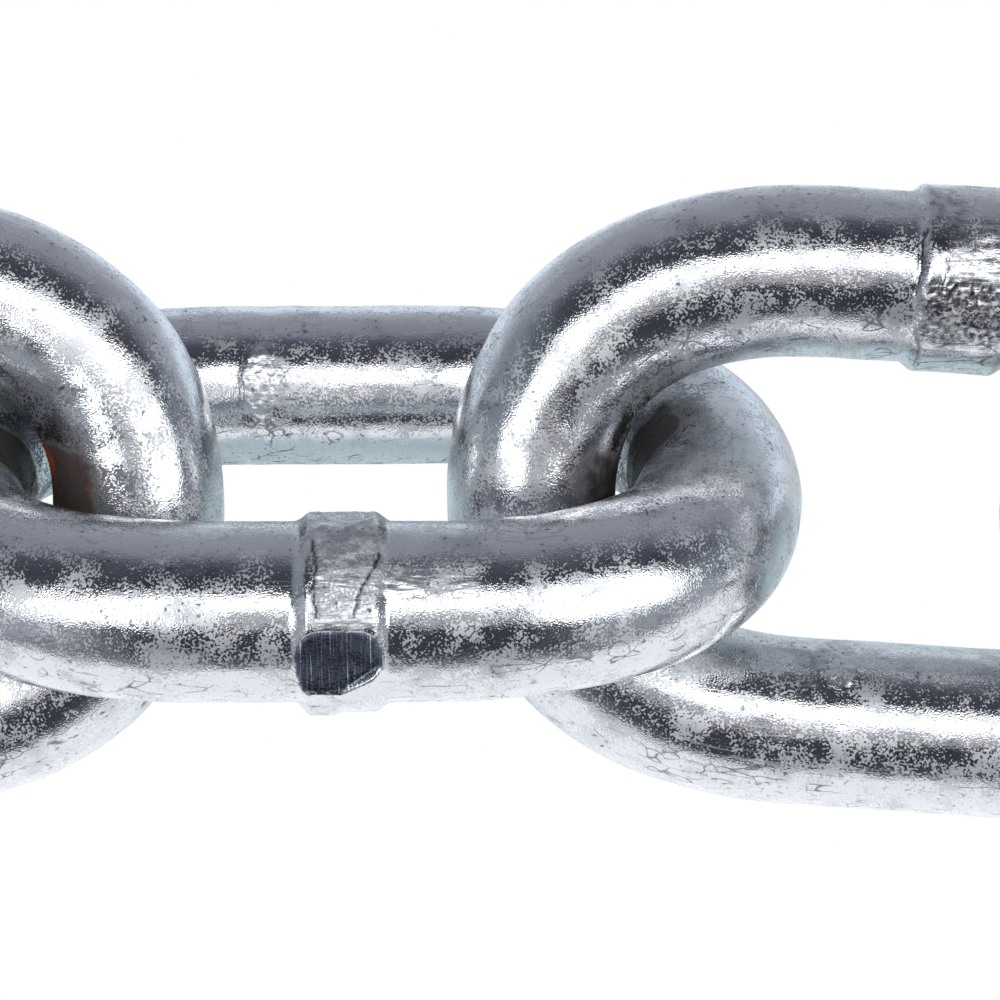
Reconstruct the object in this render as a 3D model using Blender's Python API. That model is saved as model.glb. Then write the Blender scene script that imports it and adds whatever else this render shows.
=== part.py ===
"""One metre of electrically welded, zinc-plated steel chain, laid out straight on a level floor.

Each link is one closed bar of round wire with a weld collar on one leg. It is its own solid.
Laid out and not pulled hard, the links lean over on alternate sides, so that each one lies on the
floor with one leg and carries the other leg, the welded one, above it.

Units are metres and degrees. X runs along the chain, Y across it and Z up.
The origin is on the floor, under the middle of the chain.
"""

import math
from typing import NamedTuple

import bmesh
import bpy
import numpy as np
from mathutils import Euler, Matrix, Vector


class Lie(NamedTuple):
    """How one link happens to lie, and where its weld is."""

    lean: float  # of the link's plane, from the floor
    heading: float  # of its length, from X
    side: float  # to the side of the link before it, at their crossing
    weld: float  # along the leg, from its middle


# Wire and link
WIRE_RADIUS = 0.0050
INNER_LENGTH = 0.0360
INNER_WIDTH = 0.0171
BOW_LENGTH = 0.0172  # centre-line, from the end of a straight leg to the crown
BOW_FULLNESS = 0.64  # how squarely a bow turns: 0.55 is a round or an oval, 1 a square corner

# Weld collar: the wire is thicker where its two ends were pressed and welded together
COLLAR_RADIUS = 0.0055
COLLAR_WIDTH = 0.0034
COLLAR_RAMP = 0.00095

# Chain
LINK_COUNT = 28
LINK_GAP = 0.00066  # between two linked links taken as round wires; their facets stand closer
LIES = (  # repeated down the chain; link 7 is the first of them
    Lie(32.5, 1.7, 0.0007, 0.0014),
    Lie(35.4, -2.8, -0.0001, 0.0008),
    Lie(32.0, 1.2, -0.0005, -0.0006),
    Lie(33.8, -0.8, 0.0004, 0.0018),
    Lie(34.4, 2.1, -0.0003, 0.0024),
    Lie(31.9, -1.4, -0.0004, -0.0017),
    Lie(31.9, 0.1, 0.0000, -0.0012),
)

# Facets, and how finely a bow is sampled to find where two links touch
WIRE_SIDES = 12
BOW_STEPS = 11
CONTACT_SAMPLES = 91
CONTACT_ROUNDS = 24

LEG_OFFSET = INNER_WIDTH / 2 + WIRE_RADIUS
CROWN_OFFSET = INNER_LENGTH / 2 + WIRE_RADIUS
LEG_HALF = CROWN_OFFSET - BOW_LENGTH
# A polygon with as much area as the round wire, so that a link has its true weight
EQUAL_AREA = math.sqrt(2 * math.pi / (WIRE_SIDES * math.sin(2 * math.pi / WIRE_SIDES)))


def clear_scene():
    """Removes whatever the scene holds."""
    for obj in list(bpy.data.objects):
        bpy.data.objects.remove(obj, do_unlink=True)


def zinc_plated_steel():
    """Bright zinc on drawn steel wire."""
    material = bpy.data.materials.new("zinc_plated_steel")
    material.use_nodes = True
    shader = material.node_tree.nodes["Principled BSDF"]
    shader.inputs["Base Color"].default_value = (0.56, 0.58, 0.62, 1.0)
    shader.inputs["Metallic"].default_value = 1.0
    shader.inputs["Roughness"].default_value = 0.32
    return material


def bow_curve(place):
    """The centre-line of a bow, at places from -1 at one leg over 0 at the crown to 1 at the other leg.

    Returns how far it is beyond the leg's end, how far to the side, and the outward direction's two parts.
    """
    share = np.abs(place)
    rest, full = 1 - share, BOW_FULLNESS
    beyond = BOW_LENGTH * (rest**3 + 3 * rest**2 * share + 3 * rest * share**2 * full)
    aside = LEG_OFFSET * np.sign(place) * (share**3 + 3 * share**2 * rest + 3 * share * rest**2 * full)
    forward = LEG_OFFSET * (rest**2 * full + 2 * rest * share * (1 - full))
    sideways = BOW_LENGTH * np.sign(place) * (share**2 * full + 2 * rest * share * (1 - full))
    return beyond, aside, forward, sideways


def bow_stations(side):
    """Centre-line points of one bow, each as (point, outward direction, wire radius).

    side is 1 for the bow at +X, walked from -Y to +Y, and -1 for the one at -X, walked back.
    """
    stations = []
    for step in range(BOW_STEPS + 1):
        beyond, aside, forward, sideways = bow_curve(2 * step / BOW_STEPS - 1)
        point = Vector((LEG_HALF + beyond, aside, 0))
        outward = Vector((forward, sideways, 0)).normalized()
        stations.append((point * side, outward * side, WIRE_RADIUS))
    return stations


def weld_stations(shift):
    """The weld collar's four rings on the leg at +Y, walked from +X to -X."""
    half = COLLAR_WIDTH / 2
    profile = (
        (half + COLLAR_RAMP, WIRE_RADIUS),
        (half, COLLAR_RADIUS),
        (-half, COLLAR_RADIUS),
        (-half - COLLAR_RAMP, WIRE_RADIUS),
    )
    return [(Vector((shift + x, LEG_OFFSET, 0)), Vector((0, 1, 0)), radius) for x, radius in profile]


def add_ring(mesh, point, outward, radius):
    """One polygon of wire round a centre-line point, with a flat side facing outward and one inward."""
    frame = Euler((math.pi / 2, 0, math.atan2(outward.y, outward.x))).to_matrix().to_4x4()
    frame @= Matrix.Rotation(math.pi / WIRE_SIDES, 4, "Z")
    frame.translation = point
    made = bmesh.ops.create_circle(mesh, segments=WIRE_SIDES, radius=radius * EQUAL_AREA, matrix=frame)
    return list({edge for vert in made["verts"] for edge in vert.link_edges})


def link_mesh(name, weld_shift):
    """A closed link in its own frame: X along it, Y across it, its plane at Z 0, the weld on the leg at +Y."""
    mesh = bmesh.new()
    stations = bow_stations(1) + weld_stations(weld_shift) + bow_stations(-1)
    rings = [add_ring(mesh, *station) for station in stations]
    for ring, following in zip(rings, rings[1:] + rings[:1]):
        bmesh.ops.bridge_loops(mesh, edges=ring + following)
    bmesh.ops.recalc_face_normals(mesh, faces=mesh.faces)
    data = bpy.data.meshes.new(name)
    mesh.to_mesh(data)
    mesh.free()
    data.shade_smooth()
    data.set_sharp_from_angle(angle=math.radians(40))
    return data


def lie_of(number):
    """How a link lies, by its number in the chain."""
    return LIES[number % len(LIES)]


def turn_of(number):
    """How a link is turned from lying flat along X. Even links lean over to the other side."""
    lie = lie_of(number)
    lean = lie.lean if number % 2 else 180 - lie.lean
    return Euler((math.radians(lean), 0, math.radians(lie.heading)))


def height_of(number):
    """A link's centre over the floor, with its lower leg lying on it."""
    return LEG_OFFSET * math.sin(math.radians(lie_of(number).lean)) + WIRE_RADIUS * EQUAL_AREA


def bow_line(number, side):
    """Points along the centre-line of one of a link's bows, from the link's own centre. Side is 1 or -1."""
    beyond, aside = bow_curve(np.linspace(-1, 1, CONTACT_SAMPLES))[:2]
    turn = np.array(turn_of(number).to_matrix())
    return np.outer(side * (LEG_HALF + beyond), turn[:, 0]) + np.outer(aside, turn[:, 1])


def step_between(number):
    """The way from the centre of a link to the centre of the next one, drawn up to it.

    Links that lean at less than a right angle to each other touch at their shoulders before their
    crowns meet, so the step is found by halving between two crowns that meet and two that are clear.
    """
    direction, next_direction = (turn_of(n).to_matrix().col[0] for n in (number, number + 1))
    along = np.array(direction + next_direction) / 2
    offset = np.array((0, lie_of(number + 1).side, height_of(number + 1) - height_of(number)))
    bow, next_bow = bow_line(number, 1), bow_line(number + 1, -1)
    clear, meeting = 2 * CROWN_OFFSET - 4 * WIRE_RADIUS, 2 * CROWN_OFFSET
    for _ in range(CONTACT_ROUNDS):
        step = (clear + meeting) / 2
        apart = np.linalg.norm(bow[:, None] - (next_bow + offset + along * step)[None], axis=2).min()
        if apart > 2 * WIRE_RADIUS + LINK_GAP:
            clear = step
        else:
            meeting = step
    return Vector(offset + along * clear)


def link_centres():
    """Each link's centre, one leg on the floor and its bow drawn up to the bow before it."""
    centres = [Vector((0, 0, height_of(1)))]
    for number in range(1, LINK_COUNT):
        centres.append(centres[-1] + step_between(number))
    return centres


def corners_of(obj):
    """All of an object's points in the world."""
    return [obj.matrix_world @ vert.co for vert in obj.data.vertices]


def lay_on_floor(links):
    """Moves the links together so that the origin is under their middle, and sets each on the floor."""
    bpy.context.view_layer.update()
    points = [point for link in links for point in corners_of(link)]
    middle = [(min(point[axis] for point in points) + max(point[axis] for point in points)) / 2 for axis in (0, 1)]
    for link in links:
        lowest = min(point.z for point in corners_of(link))
        link.location -= Vector((*middle, lowest))


def build_chain():
    """Makes every link as an object of its own and returns them in order."""
    material = zinc_plated_steel()
    links = []
    for number, centre in enumerate(link_centres(), start=1):
        name = f"link_{number:02d}"
        data = link_mesh(name, lie_of(number).weld)
        data.materials.append(material)
        link = bpy.data.objects.new(name, data)
        link.location = centre
        link.rotation_euler = turn_of(number)
        bpy.context.scene.collection.objects.link(link)
        links.append(link)
    lay_on_floor(links)
    bpy.context.view_layer.update()
    return links


clear_scene()
build_chain()
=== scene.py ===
"""A metre of electrically welded, zinc-plated steel chain, as it lies slack on a pale studio floor.

Each link is made as chain is: a straight drawn wire, bent round and closed by one weld on its upper leg.
The weld is dressed while the wire is straight, then the wire is bent and laid where the CAD link lies.
Lengths are metres unless a name ends in mm, and angles are degrees.
"""

import logging
import math
from dataclasses import dataclass, field
from enum import Enum

import bpy
import numpy as np
from bpy.types import Material, Node, NodeSocket, NodeTree, Object
from mathutils import Euler, Matrix, Vector, noise


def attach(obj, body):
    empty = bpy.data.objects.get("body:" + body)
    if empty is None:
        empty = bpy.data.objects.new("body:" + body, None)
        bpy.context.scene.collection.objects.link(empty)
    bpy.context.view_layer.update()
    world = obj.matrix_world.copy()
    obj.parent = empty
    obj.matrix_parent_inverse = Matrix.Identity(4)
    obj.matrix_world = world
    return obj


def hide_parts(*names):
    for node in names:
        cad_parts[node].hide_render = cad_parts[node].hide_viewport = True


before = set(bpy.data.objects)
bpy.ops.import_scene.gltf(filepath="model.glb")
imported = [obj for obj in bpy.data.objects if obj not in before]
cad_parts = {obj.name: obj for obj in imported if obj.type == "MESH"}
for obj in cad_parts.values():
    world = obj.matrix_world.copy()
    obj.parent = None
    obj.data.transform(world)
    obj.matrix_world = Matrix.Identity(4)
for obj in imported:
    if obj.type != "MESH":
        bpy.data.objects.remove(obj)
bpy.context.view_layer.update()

Array = np.ndarray
Pair = tuple[float, float]
Triple = tuple[float, float, float]
LOG = logging.getLogger("chain")
MASKS = ("weld", "ground", "crinkle", "groove", "worn", "bearing", "rusting")
MM = 0.001


def linear(code: str) -> tuple[float, float, float, float]:
    """Turns an sRGB colour of six hex digits into the linear one that a shader reads, with an alpha."""
    channels = [int(code[at:at + 2], 16) / 255 for at in (0, 2, 4)]
    return (*(c / 12.92 if c <= 0.04045 else ((c + 0.055) / 1.055) ** 2.4 for c in channels), 1.0)


def add_node(tree: NodeTree, kind: str, inputs: dict | None = None, **settings) -> Node:
    """Adds a node, sets it up and links it.

    Args:
        tree: The node tree.
        kind: The node's type, without its leading ShaderNode.
        inputs: By name or number, a socket to link, a node whose first output is linked, or a value.
        settings: The node's own settings.

    Returns:
        The new node.
    """
    made = tree.nodes.new("ShaderNode" + kind)
    for name, value in settings.items():
        setattr(made, name, value)
    for key, value in (inputs or {}).items():
        if isinstance(value, Node):
            value = value.outputs[0]
        if isinstance(value, NodeSocket):
            tree.links.new(value, made.inputs[key])
        else:
            made.inputs[key].default_value = value
    return made


def only(piece: Object) -> None:
    """Selects one object and makes it the active one.

    Args:
        piece: The object.
    """
    bpy.ops.object.select_all(action="DESELECT")
    piece.select_set(True)
    bpy.context.view_layer.objects.active = piece


def switch_to(mode: str) -> None:
    """Switches the active object to edit or object mode."""
    bpy.ops.object.mode_set(mode=mode)


def soft_step(value: Array, start: float, end: float) -> Array:
    """Rises smoothly from 0 at start to 1 at end."""
    share = np.clip((value - start) / (end - start), 0, 1)
    return share * share * (3 - 2 * share)


def band(value: Array, low: float, high: float, soft: float) -> Array:
    """Is 1 from low to high and falls smoothly to 0 over soft on either side."""
    return soft_step(value, low - soft, low) * (1 - soft_step(value, high, high + soft))


def grain(points: Array, size_mm: Triple, seed: float) -> Array:
    """Smooth noise of about -1 to 1 at each point, with grains of the given size along X, Y and Z."""
    scaled = points / MM / np.array(size_mm) + seed
    return np.array([noise.noise(Vector(point)) for point in scaled])


class WeldLook(Enum):
    """How a weld was left by the trimming tool."""

    GROUND = "a flat ground on the outer side, with a crinkled tongue above it"
    TORN = "a torn, dark upper face with two grooves beside it"
    PRESSED = "an even collar with a seam on either side"


@dataclass(frozen=True)
class Lie:
    """How one link happens to lie, and where its weld is."""

    lean: float
    heading: float
    side: float
    weld: float


@dataclass(frozen=True)
class ElectroZinc:
    """Bright electro-plated zinc on drawn steel wire: a bluish mirror with fine grain and dull crystals.

    Where the links hung in each other in the bath, the inner side of a bow stayed bare, dark or rusty; the
    dark is partly painted shade.
    """

    name: str = "bright_electro_zinc_on_drawn_steel"
    zinc: str = "d9dbde"
    thin_zinc: str = "adb1b8"
    worn_zinc: str = "868a91"
    fleck: str = "4b4e57"
    weld_skin: str = "8b8885"
    groove_shade: str = "41434b"
    # The ground flat's steel is painted dark, a painted reflection of the dark room that it faces.
    ground_steel_painted_dark: str = "525967"
    scratch: str = "c3c8d2"
    # Painted shade: a soft greyish-brown darkening round the bearing place, where the next link touches.
    contact_shade_halo: str = "8f8985"
    bare_scale_and_contact_shade: str = "312d2d"
    # Bare scale: partly the steel's own dark scale, partly painted shade where the next link touches.
    brown_scale: str = "4c3e3a"
    rust: str = "b0522c"
    smooth: float = 0.11
    dull: float = 0.40
    wave_mm: float = 1.6
    ripple_mm: float = 0.34
    grit_mm: float = 0.045
    crystal_mm: float = 0.075
    mottle_mm: float = 1.0
    place_mm: float = 5.0
    patch_mm: float = 1.1
    pinhole_mm: float = 0.14
    die_line_mm: float = 0.06
    brush_mm: float = 0.045
    crinkle_mm: float = 0.11
    flake_mm: float = 0.85

    def build(self) -> Material:
        """Makes the material.

        Returns:
            The finished material.
        """
        material = bpy.data.materials.new(self.name)
        material.use_nodes = True
        tree = material.node_tree
        shader = tree.nodes["Principled BSDF"]
        fields = self.patterns(tree)
        for name in MASKS + ("under",):
            fields[name] = add_node(tree, "Attribute", attribute_name=name).outputs["Fac"]
        self.thresholds(tree, fields)
        makers = {"Base Color": self.colour, "Roughness": self.roughness, "Metallic": self.metal,
                  "Normal": self.relief}
        for name, make in makers.items():
            tree.links.new(make(tree, fields).outputs[0], shader.inputs[name])
        return material

    def patterns(self, tree: NodeTree) -> dict:
        """Makes the noises that the finish is built from.

        Args:
            tree: The node tree.

        Returns:
            Each pattern's node, by name.
        """
        place = add_node(tree, "TexCoord").outputs["Object"]
        drawn = add_node(tree, "Attribute", attribute_name="drawn").outputs["Vector"]
        ways = {"all over": place}
        stretches = {"along the wire": (40, 1, 1), "round the wire": (1, 30, 30), "wrinkled": (4.5, 1, 1),
                     "flaked": (3.4, 1, 1)}
        for name, stretch in stretches.items():
            scale = tuple(1 / times for times in stretch)
            ways[name] = add_node(tree, "Mapping", {"Vector": drawn, "Scale": scale}).outputs[0]
        # Real grain is too fine to show. Grit and crystals are about as wide as one pixel of the photograph.
        table = {
            "waves": ("all over", self.wave_mm, 2.0), "ripples": ("all over", self.ripple_mm, 1.0),
            "grit": ("all over", self.grit_mm, 0.0), "crystals": ("all over", self.crystal_mm, 1.0),
            "mottle": ("all over", self.mottle_mm, 2.0), "pinholes": ("all over", self.pinhole_mm, 0.0),
            "places": ("all over", self.place_mm, 0.0), "patches": ("all over", self.patch_mm, 1.0),
            "lines": ("along the wire", self.die_line_mm, 0.0),
            "brush": ("round the wire", self.brush_mm, 1.0),
            "gouges": ("round the wire", 2 * self.brush_mm, 0.0),
            "crinkles": ("wrinkled", self.crinkle_mm, 1.0)}
        fields = {}
        for name, (way, size_mm, detail) in table.items():
            inputs = {"Vector": ways[way], "Scale": 0.5 / (size_mm * MM), "Detail": detail, "Roughness": 0.6}
            fields[name] = add_node(tree, "TexNoise", inputs)
        inputs = {0: fields["patches"], 1: (0.0022, 0.0014, -0.0014), 2: ways["flaked"]}
        moved = add_node(tree, "VectorMath", inputs, operation="MULTIPLY_ADD")
        inputs = {"Vector": moved, "Scale": 1 / (self.flake_mm * MM)}
        fields["cracks"] = add_node(tree, "TexVoronoi", inputs, feature="DISTANCE_TO_EDGE")
        return fields

    def thresholds(self, tree: NodeTree, fields: dict) -> None:
        """Turns patterns and masks into shares of the surface, and adds them to the fields.

        Args:
            tree: The node tree.
            fields: The patterns and masks, added to in place.
        """
        sums = {"crystal mottle": ("mottle", "crystals", 1.0), "ragged bearing": ("bearing", "ripples", 0.22),
                "ragged rust": ("rusting", "patches", 0.9)}
        for name, (one, other, times) in sums.items():
            inputs = {0: fields[other], 1: times, 2: fields[one]}
            fields[name] = add_node(tree, "Math", inputs, operation="MULTIPLY_ADD")
        table = {
            "thin": ("waves", 0.54, 0.72, 0.6), "dulled": ("crystal mottle", 1.03, 1.11, 1.0),
            "scoured": ("crystal mottle", 0.92, 1.08, 0.85),
            "holes": ("pinholes", 0.70, 0.78, 0.7), "holed": ("waves", 0.35, 0.65, 1.0),
            "crack": ("cracks", 0.060, 0.0, 0.75), "cracked": ("patches", 0.50, 0.60, 1.0),
            "skin": ("ripples", 0.34, 0.66, 0.8),
            "combed": ("brush", 0.50, 0.75, 0.40), "gouged": ("gouges", 0.71, 0.77, 0.9),
            "near bearing": ("bearing", 0.05, 0.55, 0.5), "bare": ("ragged bearing", 0.55, 0.80, 0.95),
            "rusted": ("ragged rust", 1.50, 1.66, 0.85),
            "lined": ("lines", 0.68, 0.74, 0.7), "scuffed": ("places", 0.62, 0.70, 1.0)}
        for name, (source, low, high, most) in table.items():
            inputs = {"Value": fields[source], "From Min": low, "From Max": high, "To Max": most}
            fields[name] = add_node(tree, "MapRange", inputs, interpolation_type="SMOOTHSTEP")
        products = {
            "flecks": ("holes", "holed"), "open cracks": ("crack", "cracked"),
            "flakes": ("open cracks", "under"), "skinned": ("skin", "weld"),
            "scratches": ("lined", "scuffed"), "wrinkles": ("crinkles", "crinkle"),
            "cuts": ("gouged", "ground"), "worn dull": ("scoured", "worn")}
        for name, (one, other) in products.items():
            fields[name] = add_node(tree, "Math", {0: fields[one], 1: fields[other]}, operation="MULTIPLY")

    def colour(self, tree: NodeTree, fields: dict) -> Node:
        """Lays the colours over each other, from the zinc outwards.

        Args:
            tree: The node tree.
            fields: The shares of the surface.

        Returns:
            The node that gives the colour.
        """
        two_tones = {}
        # The ground flat's dark steel tone is a painted reflection of the dark room; its combed lines stay
        # paler.
        for name, share, one, other in (("steel", "combed", self.ground_steel_painted_dark, self.scratch),
                                        ("scale", "rusting", self.bare_scale_and_contact_shade, self.brown_scale)):
            two_tones[name] = add_node(tree, "MixRGB", {0: fields[share], 1: linear(one), 2: linear(other)})
        # The bare scale and the halo near the bearing place are partly painted shade, where the next link
        # touches.
        layers = {
            "thin": self.thin_zinc, "worn dull": self.worn_zinc, "flecks": self.fleck, "flakes": self.fleck,
            "skinned": self.weld_skin, "groove": self.groove_shade, "ground": two_tones["steel"],
            "cuts": self.scratch, "near bearing": self.contact_shade_halo, "bare": two_tones["scale"], "rusted": self.rust}
        over = linear(self.zinc)
        for share, shade in layers.items():
            top = linear(shade) if isinstance(shade, str) else shade
            over = add_node(tree, "MixRGB", {0: fields[share], 1: over, 2: top})
        return over

    def roughness(self, tree: NodeTree, fields: dict) -> Node:
        """Adds up how rough the surface is.

        Args:
            tree: The node tree.
            fields: The shares of the surface.

        Returns:
            The node that gives the roughness.
        """
        extras = {"dulled": self.dull, "worn dull": 0.33, "crinkle": 0.34, "scratches": 0.30, "flecks": 0.20,
                  "flakes": 0.25, "ground": 0.12, "bare": 0.30, "rusted": 0.25}
        rough = self.smooth
        for share, extra in extras.items():
            rough = add_node(tree, "Math", {0: fields[share], 1: extra, 2: rough}, operation="MULTIPLY_ADD")
        return rough

    def metal(self, tree: NodeTree, fields: dict) -> Node:
        """Lowers the metal's share where scale or rust covers it."""
        covered = add_node(tree, "Math", {0: fields["bare"], 1: fields["rusted"]}, operation="MAXIMUM")
        return add_node(tree, "Math", {0: covered, 1: -0.6, 2: 1.0}, operation="MULTIPLY_ADD")

    def relief(self, tree: NodeTree, fields: dict) -> Node:
        """Lays the reliefs over each other, from the broadest to the finest.

        Args:
            tree: The node tree.
            fields: The patterns.

        Returns:
            The node that gives the normal.
        """
        depths_mm = {"waves": 0.060, "ripples": 0.010, "grit": 0.011, "wrinkles": 0.060}
        relief = None
        for height, depth_mm in depths_mm.items():
            inputs = {"Height": fields[height], "Distance": depth_mm * MM, "Strength": 1.0}
            if relief is not None:
                inputs["Normal"] = relief
            relief = add_node(tree, "Bump", inputs)
        return relief


@dataclass
class Skin:
    """The points of a straight wire's surface, and what the finish needs to know of each."""

    points: Array
    masks: dict[str, Array]

    @classmethod
    def of(cls, wire: Object) -> "Skin":
        """Reads a wire's points, with every mask at zero.

        Args:
            wire: The straight wire.

        Returns:
            Its surface.
        """
        points = np.empty(len(wire.data.vertices) * 3)
        wire.data.vertices.foreach_get("co", points)
        points = points.reshape(-1, 3)
        return cls(points, {name: np.zeros(len(points)) for name in MASKS})

    def raise_to(self, name: str, near: Array, values: Array) -> None:
        """Raises a mask at some of the points, where it is lower than the given values."""
        self.masks[name][near] = np.maximum(self.masks[name][near], np.clip(values, 0, 1))

    def push_out(self, near: Array, lift: Array) -> None:
        """Moves some of the points away from the wire's middle.

        Args:
            near: Which points.
            lift: How far, for each of them.
        """
        out = self.points[near] * (0, 1, 1)
        out /= np.linalg.norm(out, axis=1)[:, None]
        self.points[near] += out * lift[:, None]

    def write(self, wire: Object, slide: float) -> None:
        """Stores the points, the masks and each face corner's place on the straight wire.

        Args:
            wire: The wire that gets them.
            slide: How far the patterns are moved along it.
        """
        mesh = wire.data
        mesh.vertices.foreach_set("co", self.points.ravel())
        for name, values in self.masks.items():
            mesh.attributes.new(name, "FLOAT", "POINT").data.foreach_set("value", values.astype(np.float32))
        corners = np.empty(len(mesh.loops), np.int32)
        mesh.loops.foreach_get("vertex_index", corners)
        drawn = (self.points[corners] + (slide, 0, 0)).astype(np.float32)
        mesh.attributes.new("drawn", "FLOAT_VECTOR", "CORNER").data.foreach_set("vector", drawn.ravel())
        mesh.update()


@dataclass
class Wire:
    """The straight drawn wire that a link is bent from, along X from the electrode mark, inner side at +Y."""

    radius: float
    length: float
    sides: int
    coarse_mm: float
    fine_mm: float
    weld_at: float
    weld_reach: float = 0.0060
    mark_reach: float = 0.0034

    def build(self, name: str) -> Object:
        """Makes the open tube, with its rings closer together at the weld and the electrode mark.

        Args:
            name: The object's name.

        Returns:
            The tube.
        """
        bpy.ops.object.select_all(action="DESELECT")
        bpy.ops.mesh.primitive_cylinder_add(
            vertices=self.sides, radius=self.radius, depth=self.length, end_fill_type="NOTHING",
            location=(self.length / 2, 0, 0), rotation=(0, math.pi / 2, 0))
        wire = bpy.context.object
        wire.name = name
        bpy.ops.object.transform_apply(location=True, rotation=True, scale=True)
        switch_to("EDIT")
        edges = [self.mark_reach, self.weld_at - self.weld_reach,
                 self.weld_at + self.weld_reach, self.length - self.mark_reach]
        for place in edges:
            bpy.ops.mesh.select_all(action="SELECT")
            bpy.ops.mesh.bisect(plane_co=(place, 0, 0), plane_no=(1, 0, 0))
        switch_to("OBJECT")
        ends = [0.0, *edges, self.length]
        for part, (low, high) in enumerate(zip(ends, ends[1:])):
            step = self.coarse_mm if part % 2 else self.fine_mm
            self.cut(wire, low, high, round((high - low) / (step * MM)))
        return wire

    def cut(self, wire: Object, low: float, high: float, parts: int) -> None:
        """Divides the stretch between two rings into equal parts.

        Args:
            wire: The tube.
            low: One ring's place along it.
            high: The other's.
            parts: How many parts.
        """
        switch_to("EDIT")
        bpy.ops.mesh.select_all(action="DESELECT")
        bpy.ops.mesh.select_mode(type="EDGE")
        switch_to("OBJECT")
        points = wire.data.vertices
        for edge in wire.data.edges:
            ends = sorted(points[v].co.x for v in edge.vertices)
            edge.select = abs(ends[0] - low) < 1e-6 and abs(ends[1] - high) < 1e-6
        switch_to("EDIT")
        bpy.ops.mesh.subdivide(number_cuts=parts - 1)
        switch_to("OBJECT")


@dataclass
class Weld:
    """The collar where the wire's two ends were pressed together, and what the trimming tool left of it.

    Its places are mm along the upper leg from the weld's middle to the link's +X end, and degrees round the
    wire from the link's outer side to its upper side.
    """

    look: WeldLook
    at: float
    upper: float
    seed: float
    swell: float = 0.0005
    ramp_mm: float = 0.95
    reach_mm: float = 9.0
    flat_height: float = 0.00503
    flat_tilt: float = -1.0

    def dress(self, skin: Skin) -> None:
        """Shapes the collar on the straight wire and marks what its finish reads.

        Args:
            skin: The wire's surface, changed in place.
        """
        along = (self.at - skin.points[:, 0]) / MM
        near = np.abs(along) < self.reach_mm
        along = along[near]
        points = skin.points[near]
        around = np.degrees(np.arctan2(points[:, 2] * self.upper, -points[:, 1]))
        shapes = {WeldLook.GROUND: self.ground, WeldLook.TORN: self.torn, WeldLook.PRESSED: self.pressed}
        lift, *masks = shapes[self.look](points, along, around)
        for name, values in zip(("weld", "crinkle", "groove"), masks):
            skin.raise_to(name, near, values)
        skin.push_out(near, lift)
        if self.look is WeldLook.GROUND:
            self.grind(skin, near, along, around)

    def collar(self, points: Array, along: Array, left: float, right: float) -> Array:
        """The collar's lift, from one end of its top to the other, with an edge that wanders a little."""
        wander = 0.20 * grain(points, (60.0, 2.6, 2.6), self.seed)
        return self.swell * band(along + wander, left, right, self.ramp_mm)

    def ground(self, points: Array, along: Array, around: Array) -> tuple[Array, ...]:
        """A collar with a crinkled tongue between two grooves, over the side that is ground flat.

        Args:
            points: Places on the straight wire.
            along: Their places along it.
            around: Their places round it.

        Returns:
            The lift, and the masks of the rough skin, the crinkled zinc and the grooves.
        """
        lift = self.collar(points, along, -2.05, 1.35)
        wrinkle = grain(points, (0.9, 0.22, 0.22), self.seed + 9)
        crumple = grain(points, (0.40, 0.40, 0.40), self.seed + 21)
        tongue = band(along, -1.7, 1.3, 0.25) * band(around, 26, 74, 7)
        trail = band(along, 1.3, 6.4, 1.0) * band(around, 45, 58, 7)
        crinkled = np.maximum(tongue, 0.75 * trail)
        left = self.groove(along, around, (-1.82, 76), (-1.75, 30), 0.08)
        right = self.groove(along, around, (1.75, 68), (0.25, 30), 0.08)
        foot = self.groove(along, around, (-1.75, 30), (0.25, 30), 0.07)
        cuts = np.maximum(np.maximum(left, right), 0.25 * foot)
        shoulder = band(along, -2.9, -2.15, 0.2) * band(around, -30, 110, 20)
        drip = band(along, -2.4, -1.0, 0.6) * band(around, -78, -46, 14)
        top = band(along, -2.2, 1.9, 0.35) * band(around, 62, 125, 12)
        lift += 0.00009 * wrinkle * crinkled - 0.00012 * cuts
        lift += 0.00007 * shoulder + 0.00022 * drip + 0.00005 * crumple * top
        return lift, 0.55 * top, crinkled, cuts

    def torn(self, points: Array, along: Array, around: Array) -> tuple[Array, ...]:
        """A long collar, torn below its middle and wrinkled above it, with a groove at its left end.

        Args:
            points: Places on the straight wire.
            along: Their places along it.
            around: Their places round it.

        Returns:
            The lift, and the masks of the rough skin, the crinkled zinc and the grooves.
        """
        lift = self.collar(points, along, -1.75, 2.6)
        wrinkle = grain(points, (1.3, 0.30, 0.30), self.seed + 9)
        crumple = grain(points, (0.27, 0.27, 0.27), self.seed + 21)
        torn = band(along, -1.9, 2.6, 0.4) * band(around, 92, 127, 7)
        wrinkled = band(along, -0.7, 2.6, 0.4) * band(around, 52, 96, 8)
        combed = band(along, -1.7, 2.6, 0.4) * band(around, 130, 165, 8)
        one = self.groove(along, around, (-2.1, 56), (-2.5, 98), 0.08)
        two = self.groove(along, around, (-0.95, 74), (-1.05, 98), 0.06)
        step = self.groove(along, around, (-2.2, 122), (-1.7, 165), 0.09)
        cuts = np.maximum(np.maximum(one, 0.8 * two), 0.6 * step)
        tinted = band(along, -1.6, -0.1, 0.5) * band(around, 20, 62, 12)
        lift += (0.00012 * crumple - 0.00007) * torn
        lift += 0.00007 * wrinkle * wrinkled + 0.00004 * wrinkle * combed - 0.00011 * cuts
        dark = soft_step(crumple, -0.25, 0.35) * (0.7 * torn + 0.4 * wrinkled)
        rough = np.maximum(0.3 * torn, 0.7 * tinted)
        return lift, rough, np.maximum(0.4 * torn, 0.5 * wrinkled), np.maximum(cuts, dark)

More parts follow.
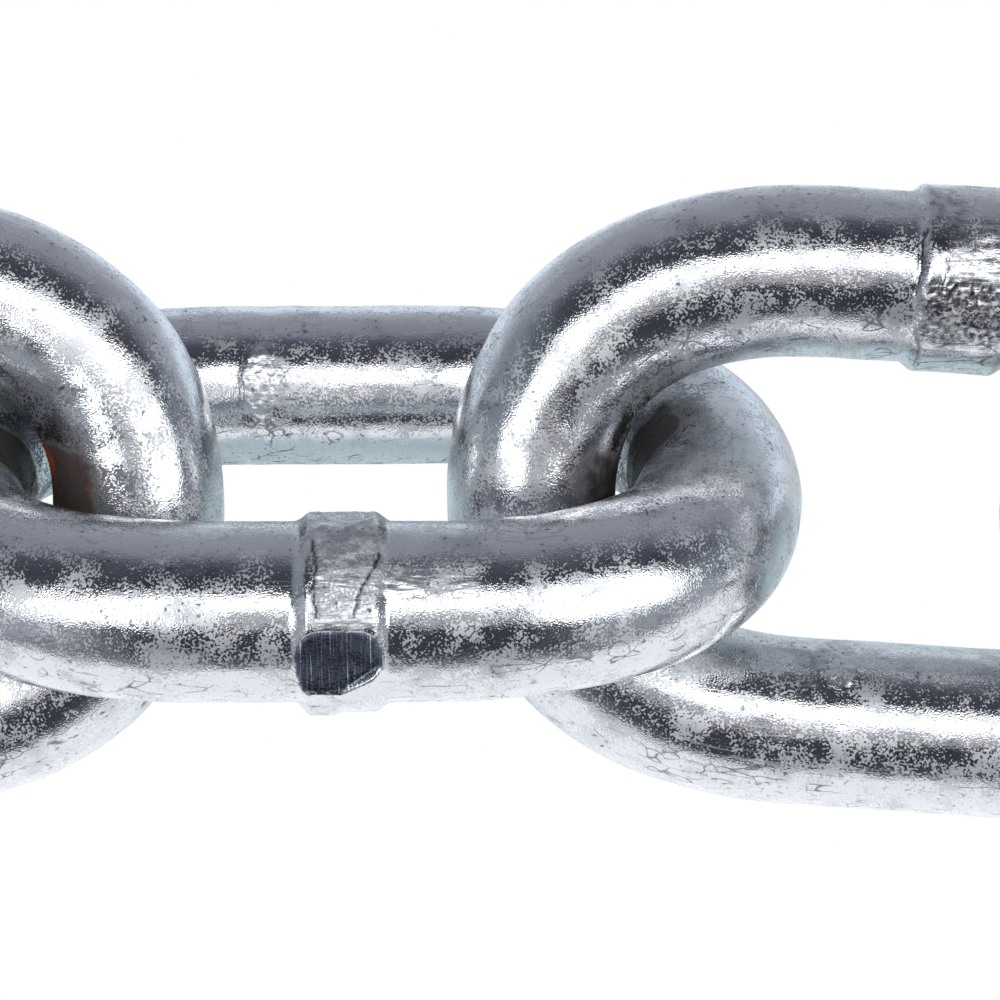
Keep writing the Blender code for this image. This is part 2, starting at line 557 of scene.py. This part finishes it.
    def pressed(self, points: Array, along: Array, around: Array) -> tuple[Array, ...]:
        """An even, slightly crumpled collar with a seam at each end.

        Args:
            points: Places on the straight wire.
            along: Their places along it.
            around: Their places round it.

        Returns:
            The lift, and the masks of the rough skin, the crinkled zinc and the grooves.
        """
        lift = self.collar(points, along, -1.7, 1.7)
        crumple = grain(points, (0.55, 0.55, 0.55), self.seed + 21)
        seams = np.maximum(self.groove(along, around, (-2.3, 120), (-2.2, -120), 0.09),
                           self.groove(along, around, (2.2, 120), (2.35, -120), 0.09))
        face = band(along, -2.0, 2.0, 0.4) * band(around, -20, 100, 25)
        lift += 0.00007 * crumple * face - 0.00012 * seams
        return lift, 0.4 * face, 0.5 * face, seams

    def groove(self, along: Array, around: Array, start: Pair, end: Pair, half_mm: float) -> Array:
        """A narrow cut in the collar from one place to another.

        Args:
            along: Places along the weld.
            around: Places round the wire.
            start: Where the cut begins, along and around.
            end: Where it ends.
            half_mm: Half its width.

        Returns:
            Depth at each point, from 0 to 1.
        """
        arc = math.radians(1) * 5.4  # mm round the collar for a degree
        tip = np.array([start[0], start[1] * arc])
        way = np.array([end[0], end[1] * arc]) - tip
        wander = 0.09 * np.sin(around * 0.21 + self.seed) + 0.04 * np.sin(around * 0.8 + 2 * along)
        offset = np.stack([along + wander, around * arc], axis=1) - tip
        share = np.clip(offset @ way / (way @ way), 0, 1)
        apart = np.linalg.norm(offset - share[:, None] * way, axis=1)
        return 1 - soft_step(apart, half_mm * 0.3, half_mm * 1.6)

    def grind(self, skin: Skin, near: Array, along: Array, around: Array) -> None:
        """Takes the collar's outer side down to a flat with a round top, and marks it.

        Args:
            skin: The wire's surface, changed in place.
            near: Which of its points are near the weld.
            along: Their places along the weld.
            around: Their places round the wire.
        """
        tilt = math.radians(self.flat_tilt)
        outward = np.array([0.0, -math.cos(tilt), math.sin(tilt) * self.upper])
        upward = np.array([0.0, math.sin(tilt), math.cos(tilt) * self.upper])
        height = skin.points[near] @ outward
        rise = skin.points[near] @ upward / MM
        # The flat's outline is a rounded square with its lower right corner cut off.
        off_middle = (np.abs((along + 0.47) / 2.35) ** 3 + (np.maximum(rise - 0.1, 0) / 2.0) ** 3) ** (1 / 3)
        off_middle += np.maximum(0.367 * (along + 2.1) - 1.9 - rise, -0.25) + 0.25
        limit = self.flat_height + 0.0006 * soft_step(off_middle, 0.90, 1.22)
        cut = (np.abs(along) < 3.6) & (np.abs(around) < 60) & (height > limit)
        excess = np.where(cut, height - limit, 0)
        skin.points[near] -= excess[:, None] * outward
        shown = soft_step(excess, 0.00001, 0.00006) * (1 - soft_step(off_middle, 0.98, 1.08))
        # The ground mask takes the dark steel colour, a painted reflection of the dark room.
        skin.raise_to("ground", near, shown)


@dataclass
class ElectrodeMark:
    """The rough, domed spot that the welding current left on the lower leg, at the wire's two ends."""

    length: float
    upper: float
    seed: float
    middle_mm: float = 1.5
    middle_deg: float = 150.0
    half_deg: float = 25.0
    half_mm: float = 1.45
    reach_mm: float = 2.6

    def dress(self, skin: Skin) -> None:
        """Raises the spot on the straight wire.

        Args:
            skin: The wire's surface, changed in place.
        """
        along = skin.points[:, 0] / MM
        along = np.where(along > self.length / MM / 2, along - self.length / MM, along)
        along -= self.middle_mm
        near = np.abs(along) < self.reach_mm
        along = along[near]
        points = skin.points[near] * (0, 1, 1) + np.stack([along * MM, 0 * along, 0 * along], axis=1)
        around = np.degrees(np.arctan2(points[:, 2] * self.upper, -points[:, 1]))
        from_middle = np.hypot(along / self.half_mm, (around - self.middle_deg) / self.half_deg)
        from_middle += 0.18 * grain(points, (1.1, 1.1, 1.1), self.seed)
        spot = 1 - soft_step(from_middle, 0.84, 1.02)
        brim = band(from_middle, 0.95, 1.05, 0.16)
        lumps = grain(points, (0.36, 0.36, 0.36), self.seed + 5)
        skin.push_out(near, 0.00004 * brim + (0.00007 + 0.00010 * lumps) * spot)
        skin.raise_to("crinkle", near, 0.6 * spot)


@dataclass
class BearingPlace:
    """A bow's bare inner place, where the next link hung in the plating bath, its dark partly painted shade.
    """

    at: float
    upper: float
    bare: float
    rust: float
    seed: float
    half_mm: float
    wear: float
    worn_deg: float
    half_deg: float = 70.0
    worn_mm: float = 17.0

    def dress(self, skin: Skin) -> None:
        """Marks the bare place on the straight wire, and the dull zinc around it.

        Args:
            skin: The wire's surface, changed in place.
        """
        along = (skin.points[:, 0] - self.at) / MM
        near = np.abs(along) < self.worn_mm
        along = along[near]
        points = skin.points[near]
        around = np.degrees(np.arctan2(points[:, 2] * self.upper, points[:, 1]))
        reach = np.hypot(along / self.worn_mm, around / self.worn_deg)
        skin.raise_to("worn", near, self.wear * (1 - soft_step(reach, 0.72, 1.02)))
        slant = along + 0.018 * around
        from_middle = np.maximum(np.abs(slant) / self.half_mm, np.abs(around) / self.half_deg)
        from_middle = 0.5 * from_middle + 0.5 * np.hypot(slant / self.half_mm, around / self.half_deg)
        from_middle += 0.12 * grain(points, (1.6, 1.6, 1.6), self.seed)
        inside = 1 - soft_step(from_middle, 0.55, 1.55)
        # The bearing mask is painted bare scale and rust, and partly painted shade where the next link
        # touches.
        skin.raise_to("bearing", near, self.bare * inside)
        skin.raise_to("rusting", near, self.rust * soft_step(inside, 0.2, 0.6))


@dataclass
class Link:
    """One closed link, from its wire to its place in the chain."""

    number: int
    centre: Vector
    turn: Euler
    dressings: list
    slide: float
    # Each kind's name, size and depth
    unevenness: tuple[tuple[str, float, float], ...] = (
        ("waves", 0.0050, 0.00018), ("dents", 0.0014, 0.000030),
    )
    under_way: Triple = (0.0, -0.55, -0.83)

    def name(self) -> str:
        """The CAD node and the body that this link stands for."""
        return f"link_{self.number:02d}"

    def build(self, wire: Object, path: Object, finish: Material) -> Object:
        """Dresses a copy of the wire, bends it and lays it in its place.

        Args:
            wire: The straight wire to copy.
            path: The link's closed centre-line.
            finish: The material.

        Returns:
            The finished link.
        """
        link = wire.copy()
        link.data = wire.data.copy()
        link.name = "chain_" + self.name()
        link.data.name = link.name
        bpy.context.scene.collection.objects.link(link)
        skin = Skin.of(link)
        for dressing in self.dressings:
            dressing.dress(skin)
        skin.write(link, self.slide)
        only(link)
        bend = link.modifiers.new("bend", "CURVE")
        bend.object = path
        bend.deform_axis = "POS_X"
        bpy.ops.object.modifier_apply(modifier=bend.name)
        switch_to("EDIT")
        bpy.ops.mesh.select_all(action="SELECT")
        bpy.ops.mesh.remove_doubles(threshold=0.00002)
        bpy.ops.mesh.normals_make_consistent(inside=False)
        switch_to("OBJECT")
        link.matrix_world = Matrix.LocRotScale(self.centre, self.turn, None)
        bpy.ops.object.transform_apply(location=True, rotation=True, scale=True)
        self.mark_under_side(link)
        self.roughen(link)
        bpy.ops.object.shade_smooth()
        link.data.materials.clear()
        link.data.materials.append(finish)
        return link

    def mark_under_side(self, link: Object) -> None:
        """Marks the side that faces down, where the plating is cracked and flaked.

        Args:
            link: The link.
        """
        normals = np.empty(len(link.data.vertices) * 3)
        link.data.vertices.foreach_get("normal", normals)
        facing = normals.reshape(-1, 3) @ np.array(self.under_way)
        values = (0.35 + 0.65 * soft_step(facing, -0.30, 0.25)).astype(np.float32)
        link.data.attributes.new("under", "FLOAT", "POINT").data.foreach_set("value", values)

    def roughen(self, link: Object) -> None:
        """Gives the wire the slight waves and dents of a bent and tumbled link.

        Args:
            link: The link.
        """
        for name, size, depth in self.unevenness:
            texture = bpy.data.textures.new(f"{link.name}_{name}", "CLOUDS")
            texture.noise_scale = size
            displace = link.modifiers.new(name, "DISPLACE")
            displace.texture = texture
            displace.texture_coords = "GLOBAL"
            displace.strength = depth
            displace.mid_level = 0.5
            bpy.ops.object.modifier_apply(modifier=displace.name)


@dataclass
class Chain:
    """The chain: the sizes of its link, and how the links lie."""

    wire_radius: float = 0.0050
    shown_radius: float = 0.00505  # between the flats and the corners of the CAD wire's twelve sides
    inner_length: float = 0.0360
    inner_width: float = 0.0171
    bow_length: float = 0.0172
    bow_fullness: float = 0.64
    link_gap: float = 0.00066
    link_count: int = 28
    first_centre: Triple = (-0.4625082, 0.0004702, 0.0128942)
    lies: tuple[Lie, ...] = (
        Lie(32.5, 1.7, 0.0007, 0.0014),
        Lie(35.4, -2.8, -0.0001, 0.0008),
        Lie(32.0, 1.2, -0.0005, -0.0006),
        Lie(33.8, -0.8, 0.0004, 0.0018),
        Lie(34.4, 2.1, -0.0003, 0.0024),
        Lie(31.9, -1.4, -0.0004, -0.0017),
        Lie(31.9, 0.1, 0.0, -0.0012),
    )
    contact_samples: int = 91
    contact_rounds: int = 24
    shown_close: tuple[int, ...] = (13, 14, 15)
    # The wire's sides, and its steps in mm along the bows and legs and at the weld and electrode mark
    close_mesh: tuple[int, float, float] = (208, 0.45, 0.12)
    plain_mesh: tuple[int, float, float] = (44, 1.10, 0.40)
    pieces: list[Object] = field(default_factory=list)

    def leg_offset(self) -> float:
        """From the link's middle to the centre-line of a leg."""
        return self.inner_width / 2 + self.wire_radius

    def crown_offset(self) -> float:
        """From the link's middle to the centre-line of a crown."""
        return self.inner_length / 2 + self.wire_radius

    def leg_half(self) -> float:
        """Half the length of a straight leg."""
        return self.crown_offset() - self.bow_length

    def lie(self, number: int) -> Lie:
        """How a link lies, by its number in the chain."""
        return self.lies[number % len(self.lies)]

    def upper(self, number: int) -> float:
        """1 if the bent wire's own Z faces up, -1 if it faces down."""
        return 1.0 if number % 2 else -1.0

    def turn(self, number: int) -> Euler:
        """How a link is turned from lying flat along X. Even links lean over to the other side.

        Args:
            number: The link's number.

        Returns:
            The turn.
        """
        lie = self.lie(number)
        lean = lie.lean if number % 2 else 180 - lie.lean
        return Euler((math.radians(lean), 0, math.radians(lie.heading)))

    def bow_line(self, number: int, side: int) -> Array:
        """Points along the centre-line of one of a link's bows, from the link's own centre.

        Args:
            number: The link's number.
            side: 1 for the bow at its +X end and -1 for the other.

        Returns:
            The points, one row each.
        """
        place = np.linspace(-1, 1, self.contact_samples)
        share = np.abs(place)
        rest = 1 - share
        beyond = self.bow_length * (rest**3 + 3 * rest**2 * share + 3 * rest * share**2 * self.bow_fullness)
        aside = np.sign(place) * (share**3 + 3 * share**2 * rest + 3 * share * rest**2 * self.bow_fullness)
        turn = np.array(self.turn(number).to_matrix())
        along = side * (self.leg_half() + beyond)
        return np.outer(along, turn[:, 0]) + np.outer(self.leg_offset() * aside, turn[:, 1])

    def step(self, number: int) -> Vector:
        """The way from the centre of a link to the centre of the next, found by halving.

        Args:
            number: The first link's number.

        Returns:
            The step.
        """
        along = np.array(sum((self.turn(n).to_matrix().col[0] for n in (number, number + 1)), Vector())) / 2
        rise = self.height(number + 1) - self.height(number)
        offset = np.array((0, self.lie(number + 1).side, rise))
        bow, next_bow = self.bow_line(number, 1), self.bow_line(number + 1, -1)
        clear, meeting = 2 * self.crown_offset() - 4 * self.wire_radius, 2 * self.crown_offset()
        for _ in range(self.contact_rounds):
            step = (clear + meeting) / 2
            apart = np.linalg.norm(bow[:, None] - (next_bow + offset + along * step)[None], axis=2).min()
            if apart > 2 * self.wire_radius + self.link_gap:
                clear = step
            else:
                meeting = step
        return Vector(offset + along * clear)

    def height(self, number: int) -> float:
        """A link's centre over the floor, less a constant."""
        return self.leg_offset() * math.sin(math.radians(self.lie(number).lean))

    def centres(self) -> list[Vector]:
        """Lays the links one after the other.

        Returns:
            Each link's centre.
        """
        found = [Vector(self.first_centre)]
        for number in range(1, self.link_count):
            found.append(found[-1] + self.step(number))
        return found

    def path(self) -> Object:
        """Makes the closed centre-line of a link. A bent wire starts at its last knot, the electrode mark.

        Returns:
            The curve.
        """
        bpy.ops.object.select_all(action="DESELECT")
        bpy.ops.curve.primitive_bezier_circle_add(radius=1.0)
        path = bpy.context.object
        path.name = "link_centre_line"
        switch_to("EDIT")
        bpy.ops.curve.select_all(action="SELECT")
        bpy.ops.curve.subdivide(number_cuts=1)
        switch_to("OBJECT")
        leg, out, crown = self.leg_half(), self.leg_offset(), self.crown_offset()
        bow_pull, crown_pull = self.bow_length * self.bow_fullness, out * self.bow_fullness
        corners = (
            ((0, -out), (1, 0), leg / 3, leg / 3),
            ((leg, -out), (1, 0), leg / 3, bow_pull),
            ((crown, 0), (0, 1), crown_pull, crown_pull),
            ((leg, out), (-1, 0), bow_pull, leg / 3),
            ((0, out), (-1, 0), leg / 3, leg / 3),
            ((-leg, out), (-1, 0), leg / 3, bow_pull),
            ((-crown, 0), (0, -1), crown_pull, crown_pull),
            ((-leg, -out), (1, 0), bow_pull, leg / 3),
        )
        for knot, (place, way, before, after) in zip(path.data.splines[0].bezier_points, corners):
            here, heading = Vector((*place, 0)), Vector((*way, 0))
            knot.handle_left_type = knot.handle_right_type = "FREE"
            knot.co = here
            knot.handle_left = here - heading * before
            knot.handle_right = here + heading * after
        path.data.dimensions = "3D"
        path.data.twist_mode = "Z_UP"
        path.data.resolution_u = 64
        return path

    def build(self, finish: Material) -> list[Object]:
        """Makes every link and joins it to the body it moves with.

        Args:
            finish: The links' material.

        Returns:
            The links, in order.
        """
        path = self.path()
        for number, centre in enumerate(self.centres(), start=1):
            piece = self.build_link(number, centre, path, finish)
            self.pieces.append(piece)
            LOG.info("%s: %d faces", piece.name, len(piece.data.polygons))
        bpy.data.objects.remove(path)
        return self.pieces

    def build_link(self, number: int, centre: Vector, path: Object, finish: Material) -> Object:
        """Makes one link, from its wire.

        Args:
            number: The link's number.
            centre: Its centre.
            path: A link's centre-line.
            finish: Its material.

        Returns:
            The link.
        """
        length = path.data.splines[0].calc_length()
        leg = self.leg_half()
        quarter = (length - 4 * leg) / 4
        weld_at = 2 * quarter + 3 * leg - self.lie(number).weld
        sizes = self.close_mesh if number in self.shown_close else self.plain_mesh
        wire = Wire(self.shown_radius, length, *sizes, weld_at).build("straight_wire")
        seen = {13: WeldLook.PRESSED, 14: WeldLook.GROUND, 15: WeldLook.TORN}
        look = seen.get(number, list(WeldLook)[number % 3])
        upper = self.upper(number)
        bare, rust, *reaches = self.wear(number)
        dressings = [Weld(look, weld_at, upper, number * 1.7), ElectrodeMark(length, upper, number * 2.3)]
        for crown_at in (2 * leg + quarter, 4 * leg + 3 * quarter):
            dressings.append(BearingPlace(crown_at, upper, bare, rust, number * 0.9 + crown_at, *reaches))
        link = Link(number, centre, self.turn(number), dressings, number * 0.115)
        piece = link.build(wire, path, finish)
        bpy.data.objects.remove(wire)
        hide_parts(link.name())
        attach(piece, link.name())
        return piece

    def wear(self, number: int) -> tuple[float, float, float, float, float]:
        """The state of a link's bearing places.

        Args:
            number: The link's number.

        Returns:
            How bare they are, and so how dark their painted shade, how far they have rusted, half their
            length in mm, and how dull the zinc around them is and how far round the wire it reaches.
        """
        known = {12: (0.95, 1.0, 5.0, 0.62, 108.0), 13: (1.0, 1.0, 6.4, 1.0, 126.0),
                 14: (0.86, 0.0, 3.2, 0.62, 108.0), 15: (0.66, 0.0, 3.6, 0.62, 108.0)}
        bare, rust = 0.6 + 0.3 * math.sin(number * 2.1), max(0.0, math.sin(number * 1.3))
        return known.get(number, (bare, rust, 3.9, 0.7 + 0.2 * math.sin(number * 0.7), 110.0))


@dataclass
class Studio:
    """A white table, a dark room, a broad lamp over the camera and the camera itself."""

    picture_px: int = 1000
    focal_px: float = 2888.61
    sensor_mm: float = 36.0
    distance: float = 0.173028
    elevation: float = 62.475
    azimuth: float = -1.373
    roll: float = 2.446
    target: Triple = (-0.007352, 0.000420, 0.012)
    lamp: float = 3.0
    lamp_bottom: float = 43.0
    lamp_top: float = 85.5
    lamp_sides: Pair = (-52.0, 63.0)
    lamp_soft: float = 2.0
    # How its top falls towards each end: the side, the angle where that begins and the fall a degree
    lamp_ends: tuple[Triple, ...] = ((-1.0, -25.0, -0.9), (1.0, -40.0, -0.5))
    lamp_slope: float = 0.15
    # The camera's dark shape before the lamp: how deep, where, and from where to where it fades in
    shade: float = 0.84
    shade_middle: float = 5.0
    shade_sides: Pair = (22.0, 12.0)
    shade_heights: Pair = (68.0, 62.0)
    strip_place: Triple = (0.0, -0.10, 0.30)
    strip_size: Pair = (1.3, 0.22)
    strip_power: float = 0.2
    floor_size: float = 8.0
    # Painted light: the table glows faintly in its own tones for the chain to mirror, though it is no lamp.
    painted_floor_glow: float = 0.45
    floor_tone: str = "e9e9ea"
    # Painted shade: the table darkens behind and in front of the chain and turns a shaded teal under it.
    painted_shade_tones: tuple[tuple[float, float, str], ...] = (
        (0.012, 0.030, "d5e1ea"), (0.035, 0.070, "a8adb5"), (-0.080, -0.140, "676972"),
    )
    painted_shade_under_chain: tuple[float, float, str] = (0.016, 0.006, "d3e2e6")
    # The paler walls begin this far to the sides, and lean out with height
    walls_middle: float = 4.0
    walls_fade: Pair = (15.0, 42.0)
    walls_heights: Pair = (40.0, 95.0)
    walls_lean: float = 27.0
    room: tuple[tuple[float, str], ...] = (
        (0.00, "43464f"), (0.20, "3c3f49"), (0.50, "40434d"), (0.60, "44464f"), (0.70, "5a5d69"),
        (0.80, "9395a2"), (1.00, "a6a9b3"),
    )
    walls: tuple[tuple[float, str], ...] = (
        (0.00, "aeb3bc"), (0.20, "a5aab3"), (0.50, "7f8994"), (0.80, "8a929c"), (1.00, "929aa4"),
    )

    def build(self) -> None:
        """Makes the floor, the light around the chain and the camera."""
        self.floor()
        self.strip()
        self.world()
        self.camera()
        scene = bpy.context.scene
        scene.view_settings.view_transform = "Standard"
        scene.view_settings.look = "None"

    def floor(self) -> None:
        """Makes the pale table that the chain mirrors, with painted shade round the chain and a painted glow.

        The camera sees white in its place, and its underside is clear, so links that swing below it show.
        """
        bpy.ops.object.select_all(action="DESELECT")
        bpy.ops.mesh.primitive_plane_add(size=self.floor_size, location=(0, 0, 0))
        table = bpy.context.object
        table.name = "studio_floor"
        table.visible_camera = False
        material = bpy.data.materials.new("white_lit_table")
        material.use_nodes = True
        tree = material.node_tree
        shader = tree.nodes["Principled BSDF"]
        shader.inputs["Roughness"].default_value = 0.9
        # Painted light: the table's faint glow.
        shader.inputs["Emission Strength"].default_value = self.painted_floor_glow
        place = add_node(tree, "SeparateXYZ", {0: add_node(tree, "TexCoord").outputs["Object"]})
        aside = add_node(tree, "Math", {0: place.outputs["Y"]}, operation="ABSOLUTE")
        # Painted shade: darker tones behind and in front of the chain, and a shaded teal under it.
        tones = [(place.outputs["Y"], *tone) for tone in self.painted_shade_tones] + [(aside, *self.painted_shade_under_chain)]
        shade = linear(self.floor_tone)
        for way, start, end, code in tones:
            inputs = {"Value": way, "From Min": start, "From Max": end}
            share = add_node(tree, "MapRange", inputs, interpolation_type="SMOOTHSTEP")
            shade = add_node(tree, "MixRGB", {0: share, 1: shade, 2: linear(code)})
        tree.links.new(shade.outputs[0], shader.inputs["Base Color"])
        tree.links.new(shade.outputs[0], shader.inputs["Emission Color"])
        below = add_node(tree, "NewGeometry").outputs["Backfacing"]
        sides = add_node(tree, "MixShader", {0: below, 1: shader, 2: add_node(tree, "BsdfTransparent")})
        tree.links.new(sides.outputs[0], tree.nodes["Material Output"].inputs["Surface"])
        table.data.materials.append(material)

    def strip(self) -> None:
        """Makes the long lamp that lights the table beside the chain and isn't mirrored in it."""
        bpy.ops.object.light_add(type="AREA", location=self.strip_place)
        lamp = bpy.context.object
        lamp.name = "table_strip_lamp"
        lamp.data.shape = "RECTANGLE"
        lamp.data.size, lamp.data.size_y = self.strip_size
        lamp.data.energy = self.strip_power
        lamp.visible_camera = False
        lamp.visible_glossy = False

    def world(self) -> None:
        """Makes the light from around: bands by height over the front edge of the floor, and a lamp."""
        world = bpy.data.worlds.new("studio_room")
        bpy.context.scene.world = world
        world.use_nodes = True
        tree = world.node_tree
        tree.nodes.clear()
        parts = add_node(tree, "SeparateXYZ", {0: add_node(tree, "TexCoord").outputs["Generated"]})
        front = add_node(tree, "Math", {0: parts.outputs["Y"], 1: -1.0}, operation="MULTIPLY")
        angle = add_node(tree, "Math", {0: parts.outputs["Z"], 1: front}, operation="ARCTAN2")
        turn = add_node(tree, "Math", {0: angle, 1: math.pi}, operation="DIVIDE")
        height = add_node(tree, "Math", {0: angle}, operation="DEGREES")
        sweep = add_node(tree, "Math", {0: parts.outputs["X"]}, operation="ARCSINE")
        side = add_node(tree, "Math", {0: sweep}, operation="DEGREES")
        bands = []
        for table in (self.room, self.walls):
            bands.append(add_node(tree, "ValToRGB", {0: turn}))
            stops = bands[-1].color_ramp.elements
            for place, code in table[2:]:
                stops.new(place)
            for stop, (place, code) in zip(stops, table):
                stop.position = place
                stop.color = linear(code)
        off = add_node(tree, "Math", {0: side, 1: self.walls_middle}, operation="SUBTRACT")
        aside = add_node(tree, "Math", {0: off}, operation="ABSOLUTE")
        low, high = self.walls_heights
        inputs = {"Value": height, "From Min": low, "From Max": high, "To Max": self.walls_lean}
        begins = add_node(tree, "MapRange", inputs)
        beyond = add_node(tree, "Math", {0: aside, 1: begins}, operation="SUBTRACT")
        near, far = self.walls_fade
        inputs = {"Value": beyond, "From Min": near, "From Max": far}
        share = add_node(tree, "MapRange", inputs, interpolation_type="SMOOTHSTEP")
        lit = add_node(tree, "MixRGB", {0: share, 1: bands[0], 2: bands[1]})
        white = (self.lamp, self.lamp, self.lamp * 1.02, 1.0)
        lit = add_node(tree, "MixRGB", {0: self.lamp_share(tree, height, side), 1: lit, 2: white})
        seen = add_node(tree, "LightPath").outputs["Is Camera Ray"]
        lit = add_node(tree, "MixRGB", {0: seen, 1: lit, 2: (1.0, 1.0, 1.0, 1.0)})
        background = add_node(tree, "Background", {"Color": lit, "Strength": 1.0})
        add_node(tree, "OutputWorld", {"Surface": background})

    def lamp_share(self, tree: NodeTree, height: Node, side: Node) -> Node:
        """Where the lamp's panel is seen from the chain, with the camera dark before its lower middle.

        Args:
            tree: The node tree.
            height: The angle over the front edge of the floor.
            side: The angle towards +X.

        Returns:
            The node that gives 1 on the panel and 0 off it.
        """
        inputs = {0: side, 1: self.lamp_slope, 2: self.lamp_top}
        top = add_node(tree, "Math", inputs, operation="MULTIPLY_ADD")
        for way, start, fall in self.lamp_ends:
            past = add_node(tree, "Math", {0: side, 1: way, 2: start}, operation="MULTIPLY_ADD")
            past = add_node(tree, "Math", {0: past, 1: 0.0}, operation="MAXIMUM")
            top = add_node(tree, "Math", {0: past, 1: fall, 2: top}, operation="MULTIPLY_ADD")
        under = add_node(tree, "Math", {0: top, 1: height}, operation="SUBTRACT")
        low, high = self.lamp_sides
        soft = self.lamp_soft
        panel = ((height, self.lamp_bottom - soft, self.lamp_bottom + soft), (under, -soft, soft),
                 (side, low - soft, low + soft), (side, high + soft, high - soft))
        off = add_node(tree, "Math", {0: side, 1: self.shade_middle}, operation="SUBTRACT")
        off = add_node(tree, "Math", {0: off}, operation="ABSOLUTE")
        shares = []
        for edges in (panel, ((off, *self.shade_sides), (height, *self.shade_heights))):
            product = 1.0
            for value, start, end in edges:
                inputs = {"Value": value, "From Min": start, "From Max": end}
                edge = add_node(tree, "MapRange", inputs, interpolation_type="SMOOTHSTEP")
                product = add_node(tree, "Math", {0: product, 1: edge}, operation="MULTIPLY")
            shares.append(product)
        open_share = add_node(tree, "Math", {0: shares[1], 1: -self.shade, 2: 1.0}, operation="MULTIPLY_ADD")
        return add_node(tree, "Math", {0: shares[0], 1: open_share}, operation="MULTIPLY")

    def camera(self) -> None:
        """Makes the camera at the photograph's place."""
        e, a, r = (math.radians(v) for v in (self.elevation, self.azimuth, self.roll))
        back = Vector((math.sin(a) * math.cos(e), -math.cos(a) * math.cos(e), math.sin(e)))
        right = Vector((math.cos(a), math.sin(a), 0))
        up = back.cross(right)
        axes = Matrix((right * math.cos(r) + up * math.sin(r), up * math.cos(r) - right * math.sin(r), back))
        bpy.ops.object.camera_add()
        camera = bpy.context.object
        camera.name = "photo_camera"
        camera.data.sensor_width = self.sensor_mm
        camera.data.lens = self.focal_px / self.picture_px * self.sensor_mm
        camera.data.clip_start = 0.01
        place = Vector(self.target) + back * self.distance
        camera.matrix_world = Matrix.Translation(place) @ axes.transposed().to_4x4()
        bpy.context.scene.camera = camera


def main() -> None:
    """Builds the studio and the chain."""
    logging.basicConfig(level=logging.INFO, format="%(name)s: %(message)s")
    Studio().build()
    links = Chain().build(ElectroZinc().build())
    LOG.info("%d links", len(links))


if __name__ == "__main__":
    main()
